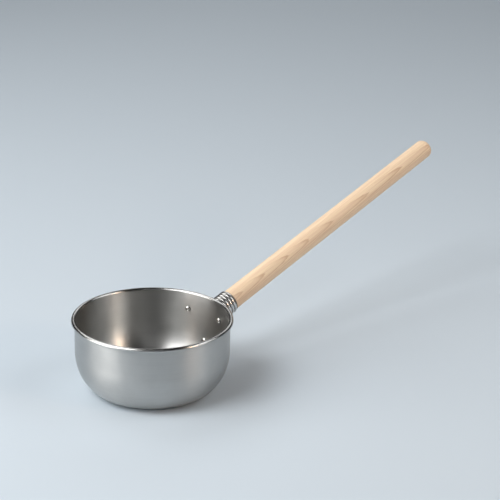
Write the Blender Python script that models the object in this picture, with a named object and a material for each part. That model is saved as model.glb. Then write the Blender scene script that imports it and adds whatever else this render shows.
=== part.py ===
"""Long-handled soup ladle: a deep drawn steel bowl with a curled lip, three rivets, a handle bracket,
a ribbed screw socket and a round wooden handle. Metres, +Z up. The origin is the centre of the
bowl's flat base, and the handle rises towards +X."""

import math

import bmesh
import bpy
from mathutils import Matrix, Vector

# Bowl
RIM_DIAMETER = 0.180  # over the curled lip
BOWL_HEIGHT = 0.085
BOWL_SHEET = 0.0015
BASE_DIAMETER = 0.104  # the flat that the ladle stands on
CORNER_HEIGHT = 0.047  # height over which the wall rounds in to the base
LIP_REACH = 0.0036  # how far the curled lip stands out from the wall
LIP_HEM = 0.0002  # straight edge of the sheet below the curl

# Handle and its place on the bowl
HANDLE_DIAMETER = 0.0244  # at the socket
TIP_DIAMETER = 0.0238  # the wood tapers slightly
HANDLE_LENGTH = 0.414
HANDLE_RISE = math.radians(16.5)  # above the horizontal
HANDLE_CHAMFER = 0.001  # on the hidden end of the wood
TIP_ROUND = 0.0075
TIP_CROWN = 0.0008

# Screw socket
SOCKET_REACH = 0.0394  # from the bowl's wall to the socket's mouth, along the handle
SOCKET_SHEET = 0.0007
SOCKET_END_SPACE = 0.005  # left between the wood and the inner end of the socket
RIB_PITCH = 0.00435
RIB_HEIGHT = 0.0008
RIB_COUNT = 6

# Handle bracket
PLATE_SHEET = 0.0015
COLLAR_REACH = 0.0105  # from the bowl's wall to the collar's mouth, along the handle
COLLAR_FLARE = 0.004  # radius of the sweep from the collar into the plate
PLATE_MARGIN = 0.0015  # plate left around the foot of the collar
LIP_SPACE = 0.0042  # between the plate's top edge and the lip

# Rivets
RIVET_SHANK = 0.0032
RIVET_HEAD = 0.0068
RIVET_HEAD_HEIGHT = 0.0022
RIVET_TAIL = 0.0060
RIVET_TAIL_HEIGHT = 0.0014
RIVET_SPACE = 0.0042  # between a rivet's tail and the foot of the collar
UPPER_RIVET_ANGLE = math.radians(16)  # above the level of the collar's centre
EAR_MARGIN = 0.0035  # plate left around a rivet's tail

# Space between pieces that touch, and the running allowance of a piece in its hole
FIT_GAP = 0.0003

# Facets
BOWL_SEGMENTS = 64
ROUND_SEGMENTS = 36
RIVET_SEGMENTS = 16
CORNER_STEPS = 12
CURL_STEPS = 6
RIB_STEPS = 6

# Sizes that follow from those above
wall_radius = RIM_DIAMETER / 2 - LIP_REACH
base_radius = BASE_DIAMETER / 2
handle_radius = HANDLE_DIAMETER / 2
tip_radius = TIP_DIAMETER / 2
socket_bore = handle_radius + FIT_GAP
socket_radius = socket_bore + SOCKET_SHEET
collar_bore = socket_radius + FIT_GAP
collar_radius = collar_bore + PLATE_SHEET
collar_foot = collar_radius + COLLAR_FLARE
curl_inside = (LIP_REACH - BOWL_SHEET) / 2
curl_outside = curl_inside + BOWL_SHEET
lip_bottom = BOWL_HEIGHT - curl_outside - LIP_HEM
plate_disc = collar_foot / math.cos(HANDLE_RISE) + PLATE_MARGIN
axis_height = lip_bottom - LIP_SPACE - plate_disc  # where the handle's axis meets the wall
rivet_circle = collar_foot + RIVET_SPACE + RIVET_TAIL / 2
rivet_hole = RIVET_SHANK / 2 + FIT_GAP


def wall_at(height):
    """Radius of the bowl's outer wall at a height, and how far its outward normal dips below level."""
    if height >= CORNER_HEIGHT:
        return wall_radius, 0.0
    turn = math.asin(1 - max(height, 0.0) / CORNER_HEIGHT)
    across = wall_radius - base_radius
    radius = base_radius + across * math.cos(turn)
    dip = math.atan2(across * math.sin(turn), CORNER_HEIGHT * math.cos(turn))
    return radius, dip


def wall_line(offset, top):
    """(radius, height) points up the wall, from the edge of the flat base to a top, moved outwards by
    the offset."""
    points = []
    for step in range(CORNER_STEPS + 1):
        turn = math.pi / 2 * (1 - step / CORNER_STEPS)
        height = CORNER_HEIGHT * (1 - math.sin(turn))
        radius, dip = wall_at(height)
        points.append((radius + offset * math.cos(dip), height - offset * math.sin(dip)))
    points.append((wall_radius + offset, top))
    return points


def arc(centre, radius, start, end, steps):
    """(radius, height) points round an arc, between two angles in degrees."""
    points = []
    for step in range(steps + 1):
        angle = math.radians(start + (end - start) * step / steps)
        points.append((centre[0] + radius * math.cos(angle), centre[1] + radius * math.sin(angle)))
    return points


def finish_mesh(name, bm):
    """Closes the seams of a turned or lofted shape and makes it a mesh with its faces outwards."""
    bmesh.ops.remove_doubles(bm, verts=bm.verts, dist=1e-6)
    bmesh.ops.dissolve_degenerate(bm, dist=1e-7, edges=bm.edges)
    bmesh.ops.recalc_face_normals(bm, faces=bm.faces)
    mesh = bpy.data.meshes.new(name)
    bm.to_mesh(mesh)
    bm.free()
    return mesh


def turned_mesh(name, outline, segments):
    """Turns an outline of (radius, height) points once round the Z axis."""
    bm = bmesh.new()
    verts = [bm.verts.new((radius, 0, height)) for radius, height in outline]
    edges = [bm.edges.new(pair) for pair in zip(verts, verts[1:])]
    turn = {"axis": (0, 0, 1), "cent": (0, 0, 0), "steps": segments, "angle": math.tau}
    bmesh.ops.spin(bm, geom=verts + edges, use_merge=True, **turn)
    return finish_mesh(name, bm)


def add_piece(name, mesh, material, parent=None):
    """One piece of the ladle, shaded smooth across everything but its edges."""
    mesh.shade_smooth()
    mesh.set_sharp_from_angle(angle=math.radians(35))
    mesh.materials.append(material)
    piece = bpy.data.objects.new(name, mesh)
    piece.parent = parent
    bpy.context.scene.collection.objects.link(piece)
    return piece


def add_cutter(name, mesh, parent=None):
    """A shape that only cuts or joins another, and isn't part of the ladle."""
    cutter = bpy.data.objects.new(name, mesh)
    cutter.parent = parent
    cutter.hide_render = True
    cutter.display_type = "WIRE"
    bpy.context.scene.collection.objects.link(cutter)
    return cutter


def add_boolean(piece, other, operation):
    """A Boolean modifier with the exact solver."""
    modifier = piece.modifiers.new(f"{operation.lower()}_{other.name}", "BOOLEAN")
    modifier.object = other
    modifier.operation = operation
    modifier.solver = "EXACT"


def add_frame(name, matrix):
    """An empty that carries pieces in its own axes."""
    frame = bpy.data.objects.new(name, None)
    frame.matrix_world = matrix
    frame.empty_display_size = 0.02
    bpy.context.scene.collection.objects.link(frame)
    return frame


def metal(name, colour, roughness):
    """A bare steel."""
    material = bpy.data.materials.new(name)
    material.use_nodes = True
    shader = material.node_tree.nodes["Principled BSDF"]
    shader.inputs["Base Color"].default_value = (*colour, 1)
    shader.inputs["Metallic"].default_value = 1.0
    shader.inputs["Roughness"].default_value = roughness
    return material


def pale_wood():
    """Unfinished pale wood."""
    material = bpy.data.materials.new("pale_wood")
    material.use_nodes = True
    shader = material.node_tree.nodes["Principled BSDF"]
    shader.inputs["Base Color"].default_value = (0.80, 0.62, 0.42, 1)
    shader.inputs["Roughness"].default_value = 0.6
    return material


def handle_frame_matrix():
    """Axes at the point where the handle's axis meets the wall: Z out along the handle, Y across."""
    turn = Matrix.Rotation(math.pi / 2 - HANDLE_RISE, 4, "Y")
    return Matrix.Translation((wall_radius, 0, axis_height)) @ turn


def reach_to_wall(across, up, offset):
    """Distance along the handle, from its frame, at which a line beside its axis meets the bowl's wall
    moved outwards by the offset. The line lies to one side of the axis and above it."""
    rise, level = math.sin(HANDLE_RISE), math.cos(HANDLE_RISE)
    reach = 0.0
    for _ in range(8):
        radius, dip = wall_at(axis_height + reach * rise + up * level)
        radius += offset / math.cos(dip)
        reach = (math.sqrt(radius * radius - across * across) - wall_radius + up * rise) / level
    return reach


def rivet_places():
    """Name of each rivet and its (across, height) on the bowl."""
    side = rivet_circle * math.cos(UPPER_RIVET_ANGLE)
    high = axis_height + rivet_circle * math.sin(UPPER_RIVET_ANGLE)
    low = axis_height - rivet_circle
    return [("rivet_upper_left", side, high), ("rivet_upper_right", -side, high), ("rivet_lower", 0.0, low)]


def rivet_matrix(across, height):
    """Axes on the bowl's outer wall: Z square to the wall, outwards."""
    radius, dip = wall_at(height)
    bearing = math.asin(across / radius)
    normal = Vector((math.cos(dip) * math.cos(bearing), math.cos(dip) * math.sin(bearing), -math.sin(dip)))
    place = Matrix.Translation((radius * math.cos(bearing), across, height))
    return place @ normal.to_track_quat("Z", "Y").to_matrix().to_4x4()


def make_bowl(material, rivet_frames):
    """Drawn steel bowl: flat base, rounded corner, upright wall, and a lip curled outwards and down."""
    curl_centre = (wall_radius + curl_inside, BOWL_HEIGHT - curl_outside)
    outside = wall_line(0, curl_centre[1])
    inside = wall_line(-BOWL_SHEET, curl_centre[1])
    outline = [(0, 0)] + outside
    outline += arc(curl_centre, curl_inside, 180, 0, CURL_STEPS)[1:]
    outline.append((curl_centre[0] + curl_inside, lip_bottom))
    outline.append((curl_centre[0] + curl_outside, lip_bottom))
    outline += arc(curl_centre, curl_outside, 0, 180, CURL_STEPS + 2)
    outline += inside[-2::-1]
    outline.append((0, BOWL_SHEET))
    bowl = add_piece("bowl", turned_mesh("bowl", outline, BOWL_SEGMENTS), material)
    for frame in rivet_frames:
        add_boolean(bowl, add_rivet_drill("bowl", frame), "DIFFERENCE")


def add_rivet_drill(owner, frame):
    """A drill square to the wall, through the bowl and the bracket's plate."""
    half = 4 * (BOWL_SHEET + PLATE_SHEET)
    outline = [(0, half), (rivet_hole, half), (rivet_hole, -half), (0, -half)]
    mesh = turned_mesh("rivet_drill", outline, RIVET_SEGMENTS)
    return add_cutter(f"{owner}_drill_{frame.name}", mesh, frame)


def shield_mesh():
    """Outline of the bracket's plate as a block along X: the hull of a disc round the collar and an ear
    round each rivet."""
    discs = [(0.0, axis_height, plate_disc)]
    discs += [(across, height, RIVET_TAIL / 2 + EAR_MARGIN) for _, across, height in rivet_places()]
    bm = bmesh.new()
    for across, height, radius in discs:
        for step in range(ROUND_SEGMENTS):
            angle = math.tau * step / ROUND_SEGMENTS
            y = across + radius * math.cos(angle)
            z = height + radius * math.sin(angle)
            bm.verts.new((wall_radius / 2, y, z))
            bm.verts.new((wall_radius * 1.2, y, z))
    hull = bmesh.ops.convex_hull(bm, input=bm.verts)
    bmesh.ops.delete(bm, geom=hull["geom_interior"], context="VERTS")
    bmesh.ops.dissolve_limit(bm, angle_limit=1e-4, verts=bm.verts, edges=bm.edges)
    return finish_mesh("shield", bm)


def collar_mesh():
    """Solid form of the collar, in the handle's axes: a round neck that sweeps out to meet the plate all
    round, and ends inside the plate's thickness."""
    steps = 5
    sweep = math.radians(72)
    least_step = 0.0001  # between one ring and the next where the plate comes close to the mouth
    bm = bmesh.new()
    rings = []
    for row in range(steps + 3):
        ring = []
        for step in range(ROUND_SEGMENTS):
            angle = math.tau * step / ROUND_SEGMENTS
            bend = sweep * min(max(row - 1, 0), steps) / steps
            radius = collar_radius + COLLAR_FLARE * (1 - math.cos(bend))
            up, across = -radius * math.cos(angle), radius * math.sin(angle)
            if row == 0:
                reach = COLLAR_REACH
            elif row <= steps + 1:
                plate_face = reach_to_wall(across, up, FIT_GAP + PLATE_SHEET)
                swept = plate_face + COLLAR_FLARE * (1 - math.sin(bend))
                reach = min(swept, COLLAR_REACH - least_step * row)
            else:
                reach = reach_to_wall(across, up, FIT_GAP + PLATE_SHEET / 2)
            ring.append(bm.verts.new((radius * math.cos(angle), across, reach)))
        rings.append(ring)
    for upper, lower in zip(rings, rings[1:]):
        for step in range(ROUND_SEGMENTS):
            after = (step + 1) % ROUND_SEGMENTS
            bm.faces.new((upper[step], upper[after], lower[after], lower[step]))
    bm.faces.new(rings[0])
    bmesh.ops.poke(bm, faces=[bm.faces.new(rings[-1])])
    return finish_mesh("collar", bm)


def make_bracket(material, handle_frame, rivet_frames):
    """Pressed steel bracket: a shield-shaped plate that hugs the bowl, with a drawn collar for the
    socket and a hole for each rivet."""
    outer = wall_line(FIT_GAP + PLATE_SHEET, BOWL_HEIGHT)
    inner = wall_line(FIT_GAP, BOWL_HEIGHT)
    outline = outer + inner[::-1] + outer[:1]
    bracket = add_piece("handle_bracket", turned_mesh("bracket", outline, BOWL_SEGMENTS), material)
    add_boolean(bracket, add_cutter("bracket_shield", shield_mesh()), "INTERSECT")
    add_boolean(bracket, add_cutter("bracket_collar", collar_mesh(), handle_frame), "UNION")
    depth = 2 * COLLAR_REACH
    bore = [(0, depth), (collar_bore, depth), (collar_bore, -depth), (0, -depth)]
    bore_mesh = turned_mesh("collar_bore", bore, ROUND_SEGMENTS)
    add_boolean(bracket, add_cutter("collar_bore", bore_mesh, handle_frame), "DIFFERENCE")
    for frame in rivet_frames:
        add_boolean(bracket, add_rivet_drill("bracket", frame), "DIFFERENCE")


def socket_start():
    """How near to the bowl's wall the square inner end of the socket can come."""
    reaches = []
    for step in range(ROUND_SEGMENTS):
        angle = math.tau * step / ROUND_SEGMENTS
        across = socket_radius * math.sin(angle)
        reaches.append(reach_to_wall(across, socket_radius * math.cos(angle), FIT_GAP))
    return max(reaches)


def make_socket(material, handle_frame):
    """Thin steel socket: plain where the collar holds it, then round ribs up to its mouth."""
    start = socket_start()
    outline = [(socket_bore, start), (socket_radius, start)]
    rib_foot = SOCKET_REACH - RIB_COUNT * RIB_PITCH
    for step in range(RIB_COUNT * RIB_STEPS + 1):
        turn = math.pi * step / RIB_STEPS
        height = rib_foot + RIB_PITCH * step / RIB_STEPS
        outline.append((socket_radius + RIB_HEIGHT * abs(math.sin(turn)), height))
    outline += [(socket_bore, SOCKET_REACH), (socket_bore, start)]
    mesh = turned_mesh("screw_socket", outline, ROUND_SEGMENTS)
    add_piece("screw_socket", mesh, material, handle_frame)


def make_handle(material, handle_frame):
    """Round wooden handle with an eased inner end in the socket, a slight taper and a rounded tip."""
    start = socket_start() + SOCKET_END_SPACE
    end = start + HANDLE_LENGTH
    outline = [(0, start), (handle_radius - HANDLE_CHAMFER, start), (handle_radius, start + HANDLE_CHAMFER)]
    outline += arc((tip_radius - TIP_ROUND, end - TIP_CROWN - TIP_ROUND), TIP_ROUND, 0, 84, 8)
    outline.append((0, end))
    mesh = turned_mesh("wooden_handle", outline, ROUND_SEGMENTS)
    add_piece("wooden_handle", mesh, material, handle_frame)


def make_rivet(material, frame):
    """Solid rivet: a domed head inside the bowl and a flatter, spread tail on the bracket."""
    head_seat = -BOWL_SHEET - FIT_GAP
    tail_seat = PLATE_SHEET + 2 * FIT_GAP
    head, tail, shank = RIVET_HEAD / 2, RIVET_TAIL / 2, RIVET_SHANK / 2
    outline = []
    for step in range(6):
        turn = math.pi / 2 * step / 5
        outline.append((tail * math.sin(turn), tail_seat + RIVET_TAIL_HEIGHT * math.cos(turn)))
    outline += [(shank, tail_seat), (shank, head_seat)]
    for step in range(6):
        turn = math.pi / 2 * step / 5
        outline.append((head * math.cos(turn), head_seat - RIVET_HEAD_HEIGHT * math.sin(turn)))
    mesh = turned_mesh(frame.name, outline, RIVET_SEGMENTS)
    add_piece(frame.name.replace("_frame", ""), mesh, material, frame)


for old in list(bpy.data.objects):
    bpy.data.objects.remove(old)

satin_steel = metal("satin_steel", (0.60, 0.61, 0.60), 0.34)
pressed_steel = metal("pressed_steel", (0.56, 0.57, 0.57), 0.38)
bright_steel = metal("bright_steel", (0.72, 0.71, 0.69), 0.22)
rivet_steel = metal("rivet_steel", (0.76, 0.75, 0.72), 0.25)

handle_axes = add_frame("handle_frame", handle_frame_matrix())
rivet_axes = [
    add_frame(f"{name}_frame", rivet_matrix(across, height))
    for name, across, height in rivet_places()
]

make_bowl(satin_steel, rivet_axes)
make_bracket(pressed_steel, handle_axes, rivet_axes)
make_socket(bright_steel, handle_axes)
make_handle(pale_wood(), handle_axes)
for rivet_frame in rivet_axes:
    make_rivet(rivet_steel, rivet_frame)
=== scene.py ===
import math

import bmesh
import bpy
import numpy as np
from mathutils import Matrix, Vector


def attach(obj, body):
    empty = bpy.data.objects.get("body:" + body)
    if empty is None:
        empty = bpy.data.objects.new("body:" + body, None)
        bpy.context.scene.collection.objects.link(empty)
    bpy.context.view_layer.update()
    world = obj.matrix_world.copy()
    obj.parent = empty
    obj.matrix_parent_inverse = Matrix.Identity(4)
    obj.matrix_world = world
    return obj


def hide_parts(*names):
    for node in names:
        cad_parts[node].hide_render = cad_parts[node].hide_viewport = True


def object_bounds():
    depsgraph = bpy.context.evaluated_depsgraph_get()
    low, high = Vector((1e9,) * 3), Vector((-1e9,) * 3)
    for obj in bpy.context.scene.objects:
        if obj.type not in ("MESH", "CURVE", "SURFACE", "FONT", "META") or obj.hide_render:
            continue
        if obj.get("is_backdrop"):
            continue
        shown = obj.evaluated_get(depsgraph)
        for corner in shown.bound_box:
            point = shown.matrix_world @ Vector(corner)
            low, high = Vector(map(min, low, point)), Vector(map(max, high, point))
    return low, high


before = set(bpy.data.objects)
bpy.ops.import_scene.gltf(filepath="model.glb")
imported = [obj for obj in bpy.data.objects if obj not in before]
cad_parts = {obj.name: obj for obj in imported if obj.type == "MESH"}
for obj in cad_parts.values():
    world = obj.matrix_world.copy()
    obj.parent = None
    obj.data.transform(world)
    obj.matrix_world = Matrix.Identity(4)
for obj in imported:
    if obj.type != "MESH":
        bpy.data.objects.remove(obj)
cad_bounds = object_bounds()

# The bowl. A disc of stainless sheet is drawn and spun over a former into a deep bowl with a flat
# base. Its edge is curled outwards and down into a lip that stiffens it, and the satin finish of
# the spinning runs round it, inside and out.
bowl_height = 0.085
bowl_sheet = 0.0015
base_radius = 0.052
base_shares = (0.0, 0.4, 0.8)
corner_height = 0.047
corner_steps = 36
wall_steps = 8
rim_radius = 0.090
lip_reach = 0.0036
lip_hem = 0.0002
hem_steps = 8
wall_radius = rim_radius - lip_reach
curl_inside = (lip_reach - bowl_sheet) / 2
curl_outside = curl_inside + bowl_sheet
curl_centre = (wall_radius + curl_inside, bowl_height - curl_outside)
curl_inside_steps = 14
curl_outside_steps = 24
bowl_segments = 192
spindle_radius = 0.05
weld_distance = 0.000001
satin_dark = (0.48, 0.48, 0.47, 1)
satin_light = (0.55, 0.55, 0.54, 1)
satin_ring = (0.40, 0.40, 0.39, 1)
satin_rings_per_metre = 1900.0
satin_clouds_per_metre = 24.0
polish_starts = 0.0818
polish_full = 0.0838
lip_polish = 0.08
satin_stretch = 0.86
quarter_turn = 0.25


def add_node(tree, kind, feeds, **settings):
    """Adds one node. Each feed is a plain value for that input, or an output to wire to it."""
    node = tree.nodes.new(kind)
    for setting, value in settings.items():
        setattr(node, setting, value)
    for place, feed in feeds.items():
        if isinstance(feed, bpy.types.NodeSocket):
            tree.links.new(feed, node.inputs[place])
        else:
            node.inputs[place].default_value = feed
    return node


def do_sum(tree, operation, *feeds):
    """One step of arithmetic on numbers."""
    return add_node(tree, "ShaderNodeMath", dict(enumerate(feeds)), operation=operation).outputs[0]


def split(tree, place):
    """The X, Y and Z of a place."""
    return add_node(tree, "ShaderNodeSeparateXYZ", {0: place}).outputs


def from_axis(tree, across, up):
    """Distance from an axis, given the two coordinates beside it."""
    level = add_node(tree, "ShaderNodeCombineXYZ", {"X": across, "Y": up}).outputs[0]
    reach = add_node(tree, "ShaderNodeVectorMath", {0: level}, operation="LENGTH")
    return reach.outputs["Value"]


def new_tree(kind, name, given, made):
    """A node group with named inputs and outputs, and what its nodes take from and give to them."""
    tree = bpy.data.node_groups.new(name, kind)
    for label, socket in given.items():
        tree.interface.new_socket(label, in_out="INPUT", socket_type=f"NodeSocket{socket}")
    for label, socket in made.items():
        tree.interface.new_socket(label, in_out="OUTPUT", socket_type=f"NodeSocket{socket}")
    given = tree.nodes.new("NodeGroupInput").outputs
    made = tree.nodes.new("NodeGroupOutput").inputs
    return tree, given, made


def end_tree(tree, shape, material, made):
    """Ends a tree of geometry with real faces, all of one material."""
    whole = add_node(tree, "GeometryNodeRealizeInstances", {0: shape})
    faced = {"Geometry": whole.outputs[0], "Material": material}
    tree.links.new(add_node(tree, "GeometryNodeSetMaterial", faced).outputs[0], made)


def wall_at(height):
    """Radius of the bowl's outer wall at a height, and how far its outward normal dips."""
    if height >= corner_height:
        return wall_radius, 0.0
    turn = math.asin(1 - max(height, 0.0) / corner_height)
    across = wall_radius - base_radius
    dip = math.atan2(across * math.sin(turn), corner_height * math.cos(turn))
    return base_radius + across * math.cos(turn), dip


def wall_line(offset):
    """(radius, height) points from the base's edge to the start of the curl, moved outwards."""
    points = []
    for step in range(corner_steps + 1):
        height = corner_height * (1 - math.cos(math.pi / 2 * step / corner_steps))
        radius, dip = wall_at(height)
        points.append((radius + offset * math.cos(dip), height - offset * math.sin(dip)))
    for step in range(1, wall_steps + 1):
        height = corner_height + (curl_centre[1] - corner_height) * step / wall_steps
        points.append((wall_radius + offset, height))
    return points


def arc(centre, radius, start, end, steps):
    """(radius, height) points round an arc, between two angles in degrees."""
    points = []
    for step in range(steps + 1):
        angle = math.radians(start + (end - start) * step / steps)
        points.append((centre[0] + radius * math.cos(angle), centre[1] + radius * math.sin(angle)))
    return points


def make_lathe():
    """Turns an outline of (radius, height) points once round the Z axis. The circle that carries
    the outline has the radius of the spindle, which is taken off the outline first."""
    sizes = {"Outline": "Geometry", "Segments": "Int", "Spindle": "Float", "Material": "Material"}
    tree, given, made = new_tree("GeometryNodeTree", "lathe", sizes, {"Turned": "Geometry"})
    parts = split(tree, add_node(tree, "GeometryNodeInputPosition", {}).outputs[0])
    beside = do_sum(tree, "SUBTRACT", parts["X"], given["Spindle"])
    below = do_sum(tree, "MULTIPLY", parts["Z"], -1.0)
    flat = add_node(tree, "ShaderNodeCombineXYZ", {"X": beside, "Y": below}).outputs[0]
    laid = {"Geometry": given["Outline"], "Position": flat}
    laid = add_node(tree, "GeometryNodeSetPosition", laid)
    outline = add_node(tree, "GeometryNodeMeshToCurve", {"Mesh": laid.outputs[0]})
    circle = {"Resolution": given["Segments"], "Radius": given["Spindle"]}
    hoop = add_node(tree, "GeometryNodeCurvePrimitiveCircle", circle)
    sweep = {"Curve": hoop.outputs[0], "Profile Curve": outline.outputs[0]}
    swept = add_node(tree, "GeometryNodeCurveToMesh", sweep)
    weld = {"Geometry": swept.outputs[0], "Distance": weld_distance}
    welded = add_node(tree, "GeometryNodeMergeByDistance", weld)
    smooth = add_node(tree, "GeometryNodeSetShadeSmooth", {0: welded.outputs[0]})
    end_tree(tree, smooth.outputs[0], given["Material"], made["Turned"])
    return tree


def put_in(name, data):
    """A new object in the scene."""
    thing = bpy.data.objects.new(name, data)
    bpy.context.scene.collection.objects.link(thing)
    return thing


def make_blank(name, points, closed=False):
    """A line of (radius, height) points that a tree turns into a piece. Each point keeps its
    distance along the line, in metres."""
    mesh = bpy.data.meshes.new(name)
    edges = [(index, index + 1) for index in range(len(points) - 1)]
    if closed:
        edges.append((len(points) - 1, 0))
    mesh.from_pydata([(radius, 0, height) for radius, height in points], edges, [])
    steps = [math.dist(first, second) for first, second in zip(points, points[1:])]
    along = mesh.attributes.new("along", "FLOAT", "POINT")
    along.data.foreach_set("value", [sum(steps[:index]) for index in range(len(points))])
    return put_in(name, mesh)


def run_tree(blank, tree, sizes):
    """Puts a tree on a blank, with its sizes set."""
    modifier = blank.modifiers.new(tree.name, "NODES")
    modifier.node_group = tree
    for socket in tree.interface.items_tree:
        if socket.in_out == "INPUT" and socket.name in sizes:
            modifier[socket.identifier] = sizes[socket.name]


def turn_blank(blank, segments, material):
    """Puts a blank on the lathe."""
    sizes = {"Segments": segments, "Spindle": spindle_radius, "Material": material}
    run_tree(blank, lathe, sizes)


def take_mesh(blank):
    """The plain mesh that a blank's trees have made, with its faces outwards. The blank goes."""
    now = bpy.context.evaluated_depsgraph_get()
    finished = blank.evaluated_get(now)
    mesh = bpy.data.meshes.new_from_object(
        finished, preserve_all_data_layers=True, depsgraph=now
    )
    bpy.data.objects.remove(blank)
    bm = bmesh.new()
    bm.from_mesh(mesh)
    bmesh.ops.recalc_face_normals(bm, faces=bm.faces)
    bm.to_mesh(mesh)
    bm.free()
    return mesh


def wrap(mesh):
    """A UV map that goes once round the piece in U and along its outline in V, for the sheen of
    turned metal to follow. A corner on the axis takes its U from the rest of its face, and a face
    across the seam has all its corners on one side of it."""
    on_axis, below_all, v_per_metre = 1e-6, -2.0, 5

    def read(items, field, width=1, kind=float):
        values = np.zeros(len(items) * width, kind)
        items.foreach_get(field, values)
        return values

    place = read(mesh.vertices, "co", 3).reshape(-1, 3)
    along = read(mesh.attributes["along"].data, "value")
    vertex = read(mesh.loops, "vertex_index", kind=int)
    start = read(mesh.polygons, "loop_start", kind=int)
    total = read(mesh.polygons, "loop_total", kind=int)
    round_it = (np.arctan2(place[:, 1], place[:, 0]) / math.tau)[vertex]
    pole = (np.hypot(place[:, 0], place[:, 1]) < on_axis)[vertex]
    highest = np.maximum.reduceat(np.where(pole, below_all, round_it), start).repeat(total)
    round_it = np.where(pole, highest, round_it)
    round_it = np.where(highest - round_it > 0.5, round_it + 1, round_it)
    layer = mesh.uv_layers.new(name="wrap")
    layer.data.foreach_set("uv", np.stack([round_it, along[vertex] * v_per_metre], 1).ravel())


def add_piece(name, mesh, slot, *nodes):
    """One finished piece in its place, standing for CAD nodes."""
    piece = put_in(name, mesh)
    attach(piece, "root")
    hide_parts(*nodes)


def add_noise(tree, place, scale, detail, roughness=0.5):
    """Soft noise in space, as a number."""
    feeds = {"Vector": place, "Scale": scale, "Detail": detail, "Roughness": roughness}
    return add_node(tree, "ShaderNodeTexNoise", feeds).outputs[0]


def make_turning_marks():
    """Fine rings that turning or spinning leaves round the Z axis, and soft clouds of handling."""
    ring_drift, broad_share = 0.004, 0.14
    given = {"Place": "Vector", "Rings per Metre": "Float", "Clouds per Metre": "Float"}
    made = {"Fine Rings": "Float", "Broad Rings": "Float", "Clouds": "Float"}
    tree, given, made = new_tree("ShaderNodeTree", "turning_marks", given, made)
    parts = split(tree, given["Place"])
    reach = from_axis(tree, parts["X"], parts["Y"])
    drift = do_sum(tree, "MULTIPLY", parts["X"], ring_drift)
    ring = {"X": reach, "Y": parts["Z"], "Z": drift}
    ring = add_node(tree, "ShaderNodeCombineXYZ", ring).outputs[0]
    fine = add_noise(tree, ring, given["Rings per Metre"], detail=4.0, roughness=0.6)
    coarse = do_sum(tree, "MULTIPLY", given["Rings per Metre"], broad_share)
    broad = add_noise(tree, ring, coarse, detail=2.0)
    soft = {"detail": 3.0, "roughness": 0.55}
    clouds = add_noise(tree, given["Place"], given["Clouds per Metre"], **soft)
    for label, mark in (("Fine Rings", fine), ("Broad Rings", broad), ("Clouds", clouds)):
        tree.links.new(mark, made[label])
    return tree


def new_material(name, metallic=0.0):
    """A material, its nodes, and its main shader."""
    material = bpy.data.materials.new(name)
    material.use_nodes = True
    shader = material.node_tree.nodes["Principled BSDF"]
    shader.inputs["Metallic"].default_value = metallic
    return material, material.node_tree, shader


def spread(tree, feed, low, high, from_low=0.0, from_high=1.0):
    """Fits a number that changes over the surface to a range."""
    feeds = {"From Min": from_low, "From Max": from_high, "To Min": low, "To Max": high}
    return add_node(tree, "ShaderNodeMapRange", {"Value": feed, **feeds}).outputs[0]


def fit_noise(tree, noise, low, high):
    """Fits a noise to a range. Nearly all of a noise lies between 0.3 and 0.7."""
    return spread(tree, noise, low, high, 0.3, 0.7)


def blend_colour(tree, share, first, second):
    """One colour over another."""
    mix = add_node(tree, "ShaderNodeMix", {}, data_type="RGBA")
    for place, feed in (("Factor", share), ("A", first), ("B", second)):
        sockets = [socket for socket in mix.inputs if socket.name == place and socket.enabled]
        if isinstance(feed, bpy.types.NodeSocket):
            tree.links.new(feed, sockets[0])
        else:
            sockets[0].default_value = feed
    return [socket for socket in mix.outputs if socket.enabled][0]


def place_marks(tree, marks, place, rings, clouds):
    """Puts the marks of turning into a material, at its own scale."""
    found = add_node(tree, "ShaderNodeGroup", {}, node_tree=marks)
    tree.links.new(place, found.inputs["Place"])
    found.inputs["Rings per Metre"].default_value = rings
    found.inputs["Clouds per Metre"].default_value = clouds
    return found.outputs


def feed_shader(tree, shader, tone, rough, relief, strength, depth):
    """Gives a main shader its colour, its roughness and a fine relief, in metres deep."""
    tree.links.new(tone, shader.inputs["Base Color"])
    tree.links.new(rough, shader.inputs["Roughness"])
    bump = {"Strength": strength, "Distance": depth, "Height": relief}
    tree.links.new(add_node(tree, "ShaderNodeBump", bump).outputs[0], shader.inputs["Normal"])


def make_satin_steel(marks):
    """Stainless sheet with a fine satin finish round the bowl, polished a little along the lip."""
    material, tree, shader = new_material("satin_steel", metallic=1.0)
    place = add_node(tree, "ShaderNodeTexCoord", {}).outputs["Object"]
    found = place_marks(tree, marks, place, satin_rings_per_metre, satin_clouds_per_metre)
    fine, broad, clouds = found["Fine Rings"], found["Broad Rings"], found["Clouds"]
    lip = spread(tree, split(tree, place)["Z"], 0.0, 1.0, polish_starts, polish_full)
    dull = fit_noise(tree, broad, 0.325, 0.355)
    dull = do_sum(tree, "ADD", dull, fit_noise(tree, clouds, -0.02, 0.02))
    rough = do_sum(tree, "SUBTRACT", dull, do_sum(tree, "MULTIPLY", lip, lip_polish))
    tone = blend_colour(tree, fit_noise(tree, clouds, 0.0, 1.0), satin_dark, satin_light)
    tone = blend_colour(tree, spread(tree, fine, 0.0, 0.25, 0.35, 0.7), tone, satin_ring)
    feed_shader(tree, shader, tone, rough, fine, strength=0.35, depth=0.00002)
    shader.inputs["Anisotropic"].default_value = satin_stretch
    shader.inputs["Anisotropic Rotation"].default_value = quarter_turn
    tangent = add_node(tree, "ShaderNodeTangent", {}, direction_type="UV_MAP", uv_map="wrap")
    tree.links.new(tangent.outputs[0], shader.inputs["Tangent"])
    return material


lathe = make_lathe()
turning_marks = make_turning_marks()

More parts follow.
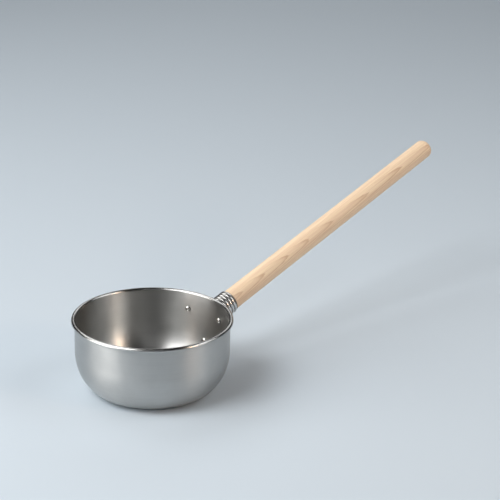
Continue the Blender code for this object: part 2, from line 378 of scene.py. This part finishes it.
bowl_outline = [(base_radius * share, 0) for share in base_shares] + wall_line(0)
bowl_outline += arc(curl_centre, curl_inside, 180, 0, curl_inside_steps)[1:]
hem_centre = (curl_centre[0] + (curl_inside + curl_outside) / 2, curl_centre[1] - lip_hem)
bowl_outline += arc(hem_centre, bowl_sheet / 2, 180, 360, hem_steps)
bowl_outline += arc(curl_centre, curl_outside, 0, 180, curl_outside_steps)
bowl_outline += wall_line(-bowl_sheet)[-2::-1]
bowl_outline += [(base_radius * share, bowl_sheet) for share in base_shares[::-1]]
bowl_blank = make_blank("bowl_blank", bowl_outline)
turn_blank(bowl_blank, bowl_segments, make_satin_steel(turning_marks))
bowl_mesh = take_mesh(bowl_blank)
wrap(bowl_mesh)
add_piece("spun_bowl", bowl_mesh, "bowl_steel", "bowl")

# The handle bracket. A shield-shaped plate of steel sheet is pressed to the curve of the bowl's
# wall, and a round collar is drawn out of its middle, square to the handle. It sits on the outside
# of the bowl.
handle_rise = math.radians(16.5)
fit_gap = 0.0003
plate_sheet = 0.0015
wood_radius = 0.0122
socket_bore = wood_radius + fit_gap
socket_sheet = 0.0007
socket_radius = socket_bore + socket_sheet
collar_bore = socket_radius + fit_gap
collar_radius = collar_bore + plate_sheet
collar_flare = 0.004
collar_foot = collar_radius + collar_flare
collar_reach = 0.0105
plate_margin = 0.0015
lip_space = 0.0042
plate_disc = collar_foot / math.cos(handle_rise) + plate_margin
axis_height = bowl_height - curl_outside - lip_hem - lip_space - plate_disc
handle_place = Matrix.Translation((wall_radius, 0, axis_height))
handle_place = handle_place @ Matrix.Rotation(math.pi / 2 - handle_rise, 4, "Y")
rivet_tail = 0.0030
rivet_space = 0.0042
rivet_circle = collar_foot + rivet_space + rivet_tail
ear_radius = rivet_tail + 0.0035
upper_angle = math.radians(16)
rivet_side = rivet_circle * math.cos(upper_angle)
rivet_high = axis_height + rivet_circle * math.sin(upper_angle)
rivet_low = axis_height - rivet_circle
rivet_places = [(rivet_side, rivet_high), (-rivet_side, rivet_high), (0.0, rivet_low)]
shield_steps = 180
collar_turns = 180
mouth_round = 0.0004
mouth_steps = 8
sweep_steps = 10
sweep_below_mouth = 0.0005
sweep_apart = 0.0001
least_share = 0.3
bracket_weld = 1e-7
sharp_angle = math.radians(50)
pressed_dark = (0.52, 0.53, 0.53, 1)
pressed_light = (0.60, 0.60, 0.59, 1)
pressed_rings_per_metre = 900.0
pressed_clouds_per_metre = 90.0


def reach_to_wall(across, up, offset):
    """Distance along the handle at which a line beside its axis meets the wall, moved outwards.
    Each try takes the wall's radius at the height that the last one found."""
    tries = 8
    rise, level = math.sin(handle_rise), math.cos(handle_rise)
    reach = 0.0
    for _ in range(tries):
        radius, dip = wall_at(axis_height + reach * rise + up * level)
        radius += offset / math.cos(dip)
        reach = (math.sqrt(radius * radius - across * across) - wall_radius + up * rise) / level
    return reach


def on_wall(across, height, offset):
    """The point of the wall, moved outwards, at a place across it and a height."""
    radius, dip = wall_at(height)
    radius += offset / math.cos(dip)
    return Vector((math.sqrt(radius * radius - across * across), across, height))


def shield_edge():
    """Corners of the plate seen along X: the hull of a disc round the collar and an ear at each
    rivet."""
    discs = [(0.0, axis_height, plate_disc)]
    discs += [(across, height, ear_radius) for across, height in rivet_places]
    spots = []
    for across, height, radius in discs:
        for step in range(shield_steps):
            angle = math.tau * step / shield_steps
            spots.append((across + radius * math.cos(angle), height + radius * math.sin(angle)))
    spots.sort()
    hull = []
    for line in (spots, spots[::-1]):
        chain = []
        for spot in line:
            while len(chain) > 1:
                (ax, ay), (bx, by) = chain[-2], chain[-1]
                if (bx - ax) * (spot[1] - ay) - (by - ay) * (spot[0] - ax) > 0:
                    break
                chain.pop()
            chain.append(spot)
        hull += chain[:-1]
    return hull


def edge_from(start, hull):
    """Where a line from the collar's centre through a point leaves the plate."""
    parallel, slack = 1e-12, 1e-9
    aim = (start[0], start[1] - axis_height)
    for first, second in zip(hull, hull[1:] + hull[:1]):
        side = (second[0] - first[0], second[1] - first[1])
        across = aim[0] * side[1] - aim[1] * side[0]
        if abs(across) < parallel:
            continue
        far = (first[0] * side[1] - (first[1] - axis_height) * side[0]) / across
        share = (first[0] * aim[1] - (first[1] - axis_height) * aim[0]) / across
        if far > 0 and -slack <= share <= 1 + slack:
            return (aim[0] * far, axis_height + aim[1] * far)
    raise ValueError("the line misses the plate's edge")


def bracket_rows(turn, hull):
    """Points of the bracket's whole section at one turn round the collar, from its bore at the wall
    out to the mouth, down the sweep, along the plate to its edge, and back under it."""
    side, rise = math.sin(turn), math.cos(turn)
    near = fit_gap + plate_sheet

    def beside_axis(radius, reach):
        return handle_place @ Vector((-radius * rise, radius * side, reach))

    bore_start = reach_to_wall(collar_bore * side, collar_bore * rise, fit_gap)
    rows = [beside_axis(collar_bore, bore_start)]
    middle, half = (collar_bore + collar_radius) / 2, plate_sheet / 2
    for step in range(mouth_steps + 1):
        bend = math.pi * step / mouth_steps
        reach = collar_reach - mouth_round + mouth_round * math.sin(bend)
        rows.append(beside_axis(middle - half * math.cos(bend), reach))
    for step in range(sweep_steps + 1):
        bend = math.pi / 2 * step / sweep_steps
        radius = collar_radius + collar_flare * (1 - math.cos(bend))
        face = reach_to_wall(radius * side, radius * rise, near)
        highest = collar_reach - sweep_below_mouth - sweep_apart * step
        reach = min(face + collar_flare * (1 - math.sin(bend)), highest)
        rows.append(beside_axis(radius, reach))
    foot = (rows[-1].y, rows[-1].z)
    edge = edge_from(foot, hull)
    long_way = math.dist(foot, edge)
    insets_and_offsets = (
        (0.0010, near), (0.0004, near), (0.0001, near - 0.0002), (0.0, near - 0.0005),
        (0.0, fit_gap + 0.0003), (0.0002, fit_gap),
    )
    for inset, offset in insets_and_offsets:
        share = max(1 - inset / long_way, least_share)
        spot = [start + (end - start) * share for start, end in zip(foot, edge)]
        rows.append(on_wall(spot[0], spot[1], offset))
    return rows


def make_bracket():
    """The bracket as one closed skin."""
    hull = shield_edge()
    bm = bmesh.new()
    rings = []
    for turn in range(collar_turns):
        rows = bracket_rows(math.tau * turn / collar_turns, hull)
        rings.append([bm.verts.new(spot) for spot in rows])
    for ring, after in zip(rings, rings[1:] + rings[:1]):
        for index in range(len(ring)):
            follow = (index + 1) % len(ring)
            bm.faces.new((ring[index], ring[follow], after[follow], after[index]))
    bmesh.ops.remove_doubles(bm, verts=bm.verts, dist=bracket_weld)
    bmesh.ops.recalc_face_normals(bm, faces=bm.faces)
    mesh = bpy.data.meshes.new("handle_bracket")
    bm.to_mesh(mesh)
    bm.free()
    mesh.shade_smooth()
    mesh.set_sharp_from_angle(angle=sharp_angle)
    return mesh


def make_pressed_steel(marks):
    """Rolled sheet as it comes from the press: a dull satin with soft clouds."""
    material, tree, shader = new_material("pressed_steel", metallic=1.0)
    place = add_node(tree, "ShaderNodeTexCoord", {}).outputs["Object"]
    found = place_marks(tree, marks, place, pressed_rings_per_metre, pressed_clouds_per_metre)
    clouds = found["Clouds"]
    tone = blend_colour(tree, fit_noise(tree, clouds, 0.0, 1.0), pressed_dark, pressed_light)
    rough = fit_noise(tree, clouds, 0.28, 0.42)
    feed_shader(tree, shader, tone, rough, clouds, strength=0.15, depth=0.0002)
    return material


bracket_mesh = make_bracket()
bracket_mesh.materials.append(make_pressed_steel(turning_marks))
add_piece("pressed_bracket", bracket_mesh, "bracket_steel", "handle_bracket")

# The rivets. Three solid steel rivets hold the bracket on the bowl. Each has its round head inside
# the bowl, and its tail is hammered down into a flatter dome on the bracket.
rivet_shank = 0.0016
rivet_head = 0.0034
rivet_head_height = 0.0022
rivet_tail_height = 0.0014
head_seat = -bowl_sheet - fit_gap
tail_seat = plate_sheet + 2 * fit_gap
head_land = 0.0003
tail_land = 0.0002
rivet_chamfer = 0.0001
head_steps = 10
tail_steps = 8
rivet_segments = 40
rivet_dark = (0.68, 0.67, 0.64, 1)
rivet_light = (0.80, 0.79, 0.76, 1)
# Painted shade: a near-black colour laid round the foot of each rivet dome, where it meets the sheet.
rivet_foot_shade = (0.06, 0.057, 0.055, 1)
rivet_shade_share = 0.8
head_shade_reach = 0.0010
tail_shade_reach = 0.0006
shade_roughness = 0.3


def make_rivet_setter():
    """Sets a rivet at each point, with its axis along the point's outward direction. Each point of
    the rivet keeps its height along that axis."""
    sizes = {"Points": "Geometry", "Rivet": "Object", "Material": "Material"}
    tree, given, made = new_tree("GeometryNodeTree", "rivet_setter", sizes, {"Rivets": "Geometry"})
    kind = {"data_type": "FLOAT_VECTOR"}
    outwards = add_node(tree, "GeometryNodeInputNamedAttribute", {"Name": "outwards"}, **kind)
    align = {"Vector": outwards.outputs[0]}
    turned = add_node(tree, "FunctionNodeAlignRotationToVector", align, axis="Z")
    rivet = add_node(tree, "GeometryNodeObjectInfo", {"Object": given["Rivet"]})
    along = split(tree, add_node(tree, "GeometryNodeInputPosition", {}).outputs[0])["Z"]
    kept = {"Geometry": rivet.outputs["Geometry"], "Name": "along", "Value": along}
    kind = {"data_type": "FLOAT", "domain": "POINT"}
    kept = add_node(tree, "GeometryNodeStoreNamedAttribute", kept, **kind).outputs[0]
    feeds = {"Points": given["Points"], "Instance": kept, "Rotation": turned.outputs[0]}
    set_rivets = add_node(tree, "GeometryNodeInstanceOnPoints", feeds)
    end_tree(tree, set_rivets.outputs[0], given["Material"], made["Rivets"])
    return tree


def make_rivet_steel():
    """Bright cold-headed steel, with painted shade that darkens the foot of both domes where they meet the
    sheet."""
    material, tree, shader = new_material("rivet_steel", metallic=1.0)
    place = add_node(tree, "ShaderNodeTexCoord", {}).outputs["Object"]
    specks = add_noise(tree, place, scale=900.0, detail=3.0)
    along = add_node(tree, "ShaderNodeAttribute", {}, attribute_name="along").outputs["Fac"]
    share = rivet_shade_share
    inside = spread(tree, along, 0.0, share, head_seat - head_shade_reach, head_seat - head_land)
    tail_top = tail_seat + tail_shade_reach
    outside = spread(tree, along, share, 0.0, tail_seat + tail_land, tail_top)
    # Painted shade: darker and rougher towards the foot of the head inside and of the tail outside.
    painted_shade = do_sum(tree, "MINIMUM", inside, outside)
    dull = do_sum(tree, "MULTIPLY", painted_shade, shade_roughness)
    rough = do_sum(tree, "ADD", fit_noise(tree, specks, 0.14, 0.28), dull)
    tone = blend_colour(tree, fit_noise(tree, specks, 0.0, 1.0), rivet_dark, rivet_light)
    tone = blend_colour(tree, painted_shade, tone, rivet_foot_shade)
    feed_shader(tree, shader, tone, rough, specks, strength=0.1, depth=0.0001)
    return material


rivet_outline = []
for step in range(tail_steps + 1):
    turn = math.pi / 2 * step / tail_steps
    dome = tail_seat + tail_land + (rivet_tail_height - tail_land) * math.cos(turn)
    rivet_outline.append((rivet_tail * math.sin(turn), dome))
rivet_outline += [(rivet_tail - rivet_chamfer, tail_seat), (rivet_shank, tail_seat)]
rivet_outline += [(rivet_shank, head_seat), (rivet_head - rivet_chamfer, head_seat)]
for step in range(head_steps + 1):
    turn = math.pi / 2 * step / head_steps
    dome = head_seat - head_land - (rivet_head_height - head_land) * math.sin(turn)
    rivet_outline.append((rivet_head * math.cos(turn), dome))
rivet_steel = make_rivet_steel()
rivet_blank = make_blank("rivet_blank", rivet_outline)
turn_blank(rivet_blank, rivet_segments, rivet_steel)

rivet_points = bpy.data.meshes.new("rivet_points")
spots, directions = [], []
for across, height in rivet_places:
    radius, dip = wall_at(height)
    bearing = math.asin(across / radius)
    spots.append((radius * math.cos(bearing), across, height))
    level = math.cos(dip)
    directions += [level * math.cos(bearing), level * math.sin(bearing), -math.sin(dip)]
rivet_points.from_pydata(spots, [], [])
outwards = rivet_points.attributes.new("outwards", "FLOAT_VECTOR", "POINT")
outwards.data.foreach_set("vector", directions)
rivet_row = put_in("rivet_row", rivet_points)
run_tree(rivet_row, make_rivet_setter(), {"Rivet": rivet_blank, "Material": rivet_steel})
rivets_mesh = take_mesh(rivet_row)
bpy.data.objects.remove(rivet_blank)
rivets_mesh.set_sharp_from_angle(angle=sharp_angle)
add_piece("rivets", rivets_mesh, "rivet_steel",
          "rivet_upper_left", "rivet_upper_right", "rivet_lower")

# The screw socket. A tube of thin bright steel is pressed with a round thread, like a lamp cap,
# and held in the bracket's collar. The wooden handle screws into it, and its ribs show up to the
# mouth.
socket_reach = 0.0394
rib_pitch = 0.00435
rib_height = 0.0008
rib_count = 6
rib_foot = socket_reach - rib_count * rib_pitch
rib_run_out = 0.0011
groove_round = 0.004
socket_rows = 130
socket_segments = 128
mouth_edge_steps = 6
bright_dark = (0.60, 0.59, 0.57, 1)
bright_light = (0.72, 0.71, 0.69, 1)
# Painted shade: a near-black colour laid in the thread's grooves and in a band by the mouth, where the wood
# goes in.
socket_shade = (0.05, 0.047, 0.045, 1)
mouth_shade_share = 0.85
bright_rings_per_metre = 2500.0
bright_clouds_per_metre = 160.0


def make_thread_press():
    """Presses a round helical thread into a tube along Z, between two heights."""
    sizes = {"Tube": "Geometry", "Pitch": "Float", "Height": "Float", "Foot": "Float"}
    sizes.update({"Mouth": "Float", "Run Out": "Float", "Material": "Material"})
    made = {"Threaded": "Geometry"}
    tree, given, made = new_tree("GeometryNodeTree", "thread_press", sizes, made)
    parts = split(tree, add_node(tree, "GeometryNodeInputPosition", {}).outputs[0])
    bearing = do_sum(tree, "ARCTAN2", parts["Y"], parts["X"])
    round_it = do_sum(tree, "DIVIDE", bearing, math.tau)
    phase = do_sum(tree, "SUBTRACT", do_sum(tree, "DIVIDE", parts["Z"], given["Pitch"]), round_it)
    wave = do_sum(tree, "SINE", do_sum(tree, "MULTIPLY", phase, math.pi))
    square = do_sum(tree, "MULTIPLY", wave, wave)
    crest = do_sum(tree, "SQRT", do_sum(tree, "ADD", square, groove_round))
    top = do_sum(tree, "SUBTRACT", given["Mouth"], given["Run Out"])
    start = do_sum(tree, "ADD", given["Foot"], given["Run Out"])
    ease = {"interpolation_type": "SMOOTHSTEP"}
    rise = {"Value": parts["Z"], "From Min": given["Foot"], "From Max": start}
    rise = add_node(tree, "ShaderNodeMapRange", rise, **ease).outputs[0]
    fall = {"Value": parts["Z"], "From Min": given["Mouth"], "From Max": top}
    fall = add_node(tree, "ShaderNodeMapRange", fall, **ease).outputs[0]
    share = do_sum(tree, "MULTIPLY", rise, fall)
    height = do_sum(tree, "MULTIPLY", crest, given["Height"])
    shift = do_sum(tree, "MULTIPLY", height, share)
    level = {"X": parts["X"], "Y": parts["Y"]}
    level = add_node(tree, "ShaderNodeCombineXYZ", level).outputs[0]
    out = add_node(tree, "ShaderNodeVectorMath", {0: level}, operation="NORMALIZE").outputs[0]
    push = {0: out, "Scale": shift}
    push = add_node(tree, "ShaderNodeVectorMath", push, operation="SCALE").outputs[0]
    pressed = {"Geometry": given["Tube"], "Offset": push}
    pressed = add_node(tree, "GeometryNodeSetPosition", pressed).outputs[0]
    end_tree(tree, pressed, given["Material"], made["Threaded"])
    return tree


def to_handle_axes(tree):
    """Object coordinates turned to the handle's own axes, with Z out along the wood."""
    place = add_node(tree, "ShaderNodeTexCoord", {}).outputs["Object"]
    turned = {"Location": handle_place.translation, "Rotation": handle_place.to_euler()}
    turned = {"Vector": place, **turned}
    return add_node(tree, "ShaderNodeMapping", turned, vector_type="TEXTURE").outputs[0]


def make_bright_steel(marks):
    """Polished thin steel, with fine rings from rolling, and with painted shade that darkens the grooves of the
    thread and a band round the mouth."""
    material, tree, shader = new_material("bright_steel", metallic=1.0)
    place = to_handle_axes(tree)
    parts = split(tree, place)
    radius = from_axis(tree, parts["X"], parts["Y"])
    deep, shallow = socket_radius + rib_height * 0.1, socket_radius + rib_height * 0.7
    groove = spread(tree, radius, 1.0, 0.0, deep, shallow)
    found = place_marks(tree, marks, place, bright_rings_per_metre, bright_clouds_per_metre)
    rings, clouds = found["Fine Rings"], found["Clouds"]
    mouth_near, mouth_at = socket_reach - 0.0014, socket_reach - 0.0008
    mouth = spread(tree, parts["Z"], 0.0, mouth_shade_share, mouth_near, mouth_at)
    # Painted shade: the grooves, varied a little by clouds, and a band by the mouth are darkened and made
    # rougher.
    painted_shade = do_sum(tree, "MULTIPLY", groove, fit_noise(tree, clouds, 0.7, 1.0))
    painted_shade = do_sum(tree, "MAXIMUM", painted_shade, mouth)
    tone = blend_colour(tree, fit_noise(tree, clouds, 0.0, 1.0), bright_dark, bright_light)
    tone = blend_colour(tree, painted_shade, tone, socket_shade)
    dull = do_sum(tree, "MULTIPLY", painted_shade, shade_roughness)
    rough = do_sum(tree, "ADD", fit_noise(tree, rings, 0.17, 0.30), dull)
    feed_shader(tree, shader, tone, rough, rings, strength=0.1, depth=0.0001)
    return material


def socket_start():
    """How near to the bowl's wall the square inner end of the socket comes."""
    turns = [math.radians(degrees) for degrees in range(0, 360, 10)]
    sides = [(socket_radius * math.sin(turn), socket_radius * math.cos(turn)) for turn in turns]
    return max(reach_to_wall(across, up, fit_gap) for across, up in sides)


inner_end = socket_start()
row_step = (socket_reach - inner_end) / socket_rows
heights = [inner_end + row_step * row for row in range(socket_rows + 1)]
socket_outline = [(socket_radius, height) for height in heights[:-1]]
mouth_edge = (socket_bore + socket_sheet / 2, socket_reach - socket_sheet / 2)
socket_outline += arc(mouth_edge, socket_sheet / 2, 0, 180, mouth_edge_steps)
socket_outline += [(socket_bore, height) for height in heights[-2::-1]]
bright_steel = make_bright_steel(turning_marks)
socket_blank = make_blank("socket_blank", socket_outline, closed=True)
turn_blank(socket_blank, socket_segments, bright_steel)
thread = {"Pitch": rib_pitch, "Height": rib_height, "Foot": rib_foot, "Mouth": socket_reach}
thread.update({"Run Out": rib_run_out, "Material": bright_steel})
run_tree(socket_blank, make_thread_press(), thread)
socket_mesh = take_mesh(socket_blank)
socket_mesh.transform(handle_place)
add_piece("threaded_socket", socket_mesh, "socket_steel", "screw_socket")

# The handle. A long dowel of pale, open-grained wood is turned with a slight taper and a rounded
# tip, and left unvarnished. Its growth rings run out of the side in long pointed arches, and show
# at the end.
end_space = 0.005
wood_length = 0.414
tip_radius = 0.01188
tip_round = 0.0075
tip_crown = 0.0008
tip_turn = 84
tip_steps = 18
crown_steps = 4
end_ease = 0.001
ease_steps = 4
straight_steps = 60
wood_segments = 128
ring_width = 0.0018
first_ring = 0.56
ring_lean = ring_width / 0.042
ring_bend = 0.2207
lean_lost = 0.41
pith_distance = 0.090
pith_side = (0.593, 0.805)
lower_side = 50.0
ring_sway = 0.0002
ring_fray = 0.00012
year_lines = (
    (0.0, 0.35), (0.05, 1.0), (0.12, 0.85), (0.22, 0.42), (0.36, 0.16), (0.84, 0.0), (1.0, 0.0)
)
wood_light = (0.95, 0.75, 0.52, 1)
wood_warm = (0.88, 0.65, 0.455, 1)
wood_line = (0.58, 0.34, 0.20, 1)
wood_grain = (0.62, 0.41, 0.27, 1)
wood_pore = (0.38, 0.24, 0.14, 1)


def stretch(tree, place, share):
    """Draws a pattern out along the wood, where only a share of the distance counts."""
    feeds = {0: place, 1: (1.0, 1.0, share)}
    return add_node(tree, "ShaderNodeVectorMath", feeds, operation="MULTIPLY").outputs[0]


def count_years(tree, place, across, grain):
    """The age of the tree at a place, in years. The rings stand round a distant pith and lean along
    the dowel, less steeply past their bend, and bow away down the dowel's lower side."""
    parts = split(tree, place)
    sway = add_noise(tree, stretch(tree, place, 0.3), scale=55.0, detail=2.0)
    sway = spread(tree, sway, -ring_sway, ring_sway, 0.25, 0.75)
    sway = do_sum(tree, "ADD", sway, fit_noise(tree, grain, -ring_fray, ring_fray))
    beyond = do_sum(tree, "MAXIMUM", do_sum(tree, "SUBTRACT", parts["Z"], ring_bend), 0.0)
    risen = do_sum(tree, "SUBTRACT", parts["Z"], do_sum(tree, "MULTIPLY", beyond, lean_lost))
    lean = do_sum(tree, "MULTIPLY", risen, ring_lean)
    beside = do_sum(tree, "ADD", parts["X"], -pith_distance * pith_side[0])
    above = do_sum(tree, "ADD", parts["Y"], -pith_distance * pith_side[1])
    reach = from_axis(tree, beside, above)
    below = do_sum(tree, "MAXIMUM", across, 0.0)
    bow = do_sum(tree, "MULTIPLY", do_sum(tree, "MULTIPLY", below, below), lower_side)
    grown = do_sum(tree, "SUBTRACT", reach, lean)
    grown = do_sum(tree, "ADD", grown, do_sum(tree, "SUBTRACT", sway, bow))
    return do_sum(tree, "ADD", do_sum(tree, "DIVIDE", grown, ring_width), first_ring)


def find_porous_wood(tree, years, across):
    """How porous the wood is: a dark line begins each year and fades, and is stronger in some years
    than in others. The dowel's upper side is clear of the lines."""
    line = add_node(tree, "ShaderNodeValToRGB", {"Fac": do_sum(tree, "FRACT", years)})
    stops = line.color_ramp.elements
    for spot, value in year_lines:
        stop = stops[0] if spot == 0.0 else stops[-1] if spot == 1.0 else stops.new(spot)
        stop.position, stop.color = spot, (value, value, value, 1)
    year = {"W": do_sum(tree, "FLOOR", years)}
    season = add_node(tree, "ShaderNodeTexWhiteNoise", year, noise_dimensions="1D")
    season = spread(tree, season.outputs["Value"], 0.65, 1.0)
    clear = spread(tree, across, 0.12, 1.0, wood_radius * -0.5, wood_radius * -0.14)
    return do_sum(tree, "MULTIPLY", do_sum(tree, "MULTIPLY", line.outputs[0], season), clear)


def make_pale_wood():
    """Pale ring-porous wood. Its growth rings lean along the dowel, so that each one cuts the
    surface in a long arch that points to the tip: a dark porous line that fades into lighter wood
    behind it."""
    material, tree, shader = new_material("pale_wood")
    place = to_handle_axes(tree)
    across = {0: place, 1: (pith_side[1], -pith_side[0], 0.0)}
    across = add_node(tree, "ShaderNodeVectorMath", across, operation="DOT_PRODUCT")
    across = across.outputs["Value"]
    long_way = stretch(tree, place, 0.02)
    grain = add_noise(tree, long_way, scale=1300.0, detail=4.0, roughness=0.6)
    broad = add_noise(tree, long_way, scale=550.0, detail=3.0)
    porous = find_porous_wood(tree, count_years(tree, place, across, grain), across)
    pores = add_noise(tree, stretch(tree, place, 0.05), scale=2600.0, detail=1.0)
    pores = spread(tree, pores, 0.0, 1.0, 0.60, 0.74)
    pores = do_sum(tree, "MULTIPLY", pores, spread(tree, porous, 0.15, 0.75, 0.1, 0.9))
    tone = blend_colour(tree, spread(tree, broad, 0.0, 1.0, 0.38, 0.64), wood_light, wood_warm)
    tone = blend_colour(tree, do_sum(tree, "MULTIPLY", porous, 0.80), tone, wood_line)
    tone = blend_colour(tree, spread(tree, grain, 0.0, 0.34, 0.48, 0.68), tone, wood_grain)
    tone = blend_colour(tree, do_sum(tree, "MULTIPLY", pores, 0.55), tone, wood_pore)
    rough = fit_noise(tree, grain, 0.46, 0.64)
    relief = do_sum(tree, "SUBTRACT", grain, do_sum(tree, "MULTIPLY", pores, 0.8))
    feed_shader(tree, shader, tone, rough, relief, strength=0.3, depth=0.0002)
    return material


wood_start = inner_end + end_space
wood_end = wood_start + wood_length
tip_centre = (tip_radius - tip_round, wood_end - tip_crown - tip_round)
wood_outline = [(0, wood_start), (wood_radius - end_ease, wood_start)]
ease_centre = (wood_radius - end_ease, wood_start + end_ease)
wood_outline += arc(ease_centre, end_ease, -90, 0, ease_steps)[1:]
for row in range(1, straight_steps):
    share = row / straight_steps
    height = ease_centre[1] + (tip_centre[1] - ease_centre[1]) * share
    wood_outline.append((wood_radius + (tip_radius - wood_radius) * share, height))
wood_outline += arc(tip_centre, tip_round, 0, tip_turn, tip_steps)
crown = wood_outline[-1]
for row in range(1, crown_steps + 1):
    share = 1 - row / crown_steps
    wood_outline.append((crown[0] * share, wood_end - (wood_end - crown[1]) * share * share))
wood_blank = make_blank("wood_blank", wood_outline)
turn_blank(wood_blank, wood_segments, make_pale_wood())
wood_mesh = take_mesh(wood_blank)
wood_mesh.transform(handle_place)
add_piece("dowel_handle", wood_mesh, "handle_wood", "wooden_handle")

# The floor, the lamps and the camera. A pale sheet lies under the ladle, soft boxes stand on both
# sides and overhead in a dim room, and the camera stands where the photograph was taken.
floor_reach = 12.0
floor_colour = (0.60, 0.68, 0.75, 1)
floor_roughness = 0.9
room_glow = (0.018, 0.018, 0.020, 1)
bowl_middle = (0, 0, 0.05)
bowl_foot = (0, 0, 0)
view_bearing = math.radians(47.705)
view_pitch = 0.3596148
view_roll = 0.01935792
view_place = (0.107114, -1.73443, 0.732911 + bowl_height)
view_shift = 0.001
film_width = 36.0
focal_share = 1698.25 / 500


def from_camera(right, away, up):
    """A point or direction given by the camera's right and away, seen from above, and up."""
    return Matrix.Rotation(-view_bearing, 3, "Z") @ Vector((right, away, up))


def hang_lamp(name, place, aim, width, tall, watts, colour=(1, 1, 1), grid=180):
    """A soft box that faces a point. A grid over it narrows the fan of its light, in degrees."""
    light = bpy.data.lights.new(name, "AREA")
    light.shape = "RECTANGLE"
    light.size, light.size_y = width, tall
    light.energy = watts
    light.color = colour
    light.spread = math.radians(grid)
    lamp = put_in(name, light)
    lamp.location = from_camera(*place)
    aim_line = from_camera(*aim) - lamp.location
    lamp.rotation_euler = aim_line.to_track_quat("-Z", "Y").to_euler()


floor_mesh = bpy.data.meshes.new("floor")
corners = [(-1, -1), (1, -1), (1, 1), (-1, 1)]
corners = [(across * floor_reach, away * floor_reach, 0) for across, away in corners]
floor_mesh.from_pydata(corners, [], [(0, 1, 2, 3)])
floor_paper, _, shader = new_material("floor_paper")
shader.inputs["Base Color"].default_value = floor_colour
shader.inputs["Roughness"].default_value = floor_roughness
floor_mesh.materials.append(floor_paper)
floor = put_in("floor", floor_mesh)
floor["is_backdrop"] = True

world = bpy.data.worlds.new("studio")
world.use_nodes = True
world.node_tree.nodes["Background"].inputs["Color"].default_value = room_glow
world.node_tree.nodes["Background"].inputs["Strength"].default_value = 1.0
bpy.context.scene.world = world

# For each lamp: its place, what it faces, its width and height, its watts, its colour, its grid.
hang_lamp("left_box", (-1.77, -0.47, 1.70), bowl_middle, 1.8, 1.3, 6.2, (1.0, 0.99, 0.97), 95)
hang_lamp("low_left_box", (-2.27, -0.87, 0.56), bowl_middle, 2.4, 0.8, 10.5, (1.0, 0.98, 0.95), 95)
hang_lamp("upper_left_box", (-1.12, -1.01, 2.00), bowl_foot, 1.2, 1.1, 27)
hang_lamp("back_left_box", (-1.03, 1.14, 1.97), bowl_foot, 1.4, 1.4, 12.5)
hang_lamp("right_box", (1.79, 0.13, 1.74), bowl_middle, 1.4, 1.3, 13, (0.97, 0.99, 1.0))
hang_lamp("low_right_box", (2.33, -0.76, 0.48), bowl_middle, 0.9, 0.6, 1.0, (1.0, 0.95, 0.92), 95)
hang_lamp("near_right_box", (1.95, -1.04, 1.17), bowl_middle, 0.5, 0.4, 10, (1.0, 0.73, 0.53))
hang_lamp("front_box", (-0.03, -1.91, 1.61), bowl_middle, 1.7, 1.2, 1.9)
hang_lamp("floor_box", (0.2, 3.0, 1.8), (0.2, 2.0, 0), 2.4, 1.2, 12)

camera = bpy.data.cameras.new("camera")
camera.sensor_width = film_width
camera.lens = film_width * focal_share
camera.shift_x, camera.shift_y = -view_shift, view_shift
forward = Vector((0, math.cos(view_pitch), -math.sin(view_pitch)))
level_right = Vector((1, 0, 0))
level_up = level_right.cross(forward)
right = level_right * math.cos(view_roll) + level_up * math.sin(view_roll)
up = level_up * math.cos(view_roll) - level_right * math.sin(view_roll)
axes = [from_camera(*axis) for axis in (right, up, -forward)]
eye = put_in("camera", camera)
turned_eye = Matrix(axes).transposed().to_4x4()
eye.matrix_world = Matrix.Translation(from_camera(*view_place)) @ turned_eye
bpy.context.scene.camera = eye
bpy.context.scene.view_settings.view_transform = "Standard"

visual_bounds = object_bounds()
corners = {"cad": [list(corner) for corner in cad_bounds], "visual": [list(corner) for corner in visual_bounds]}
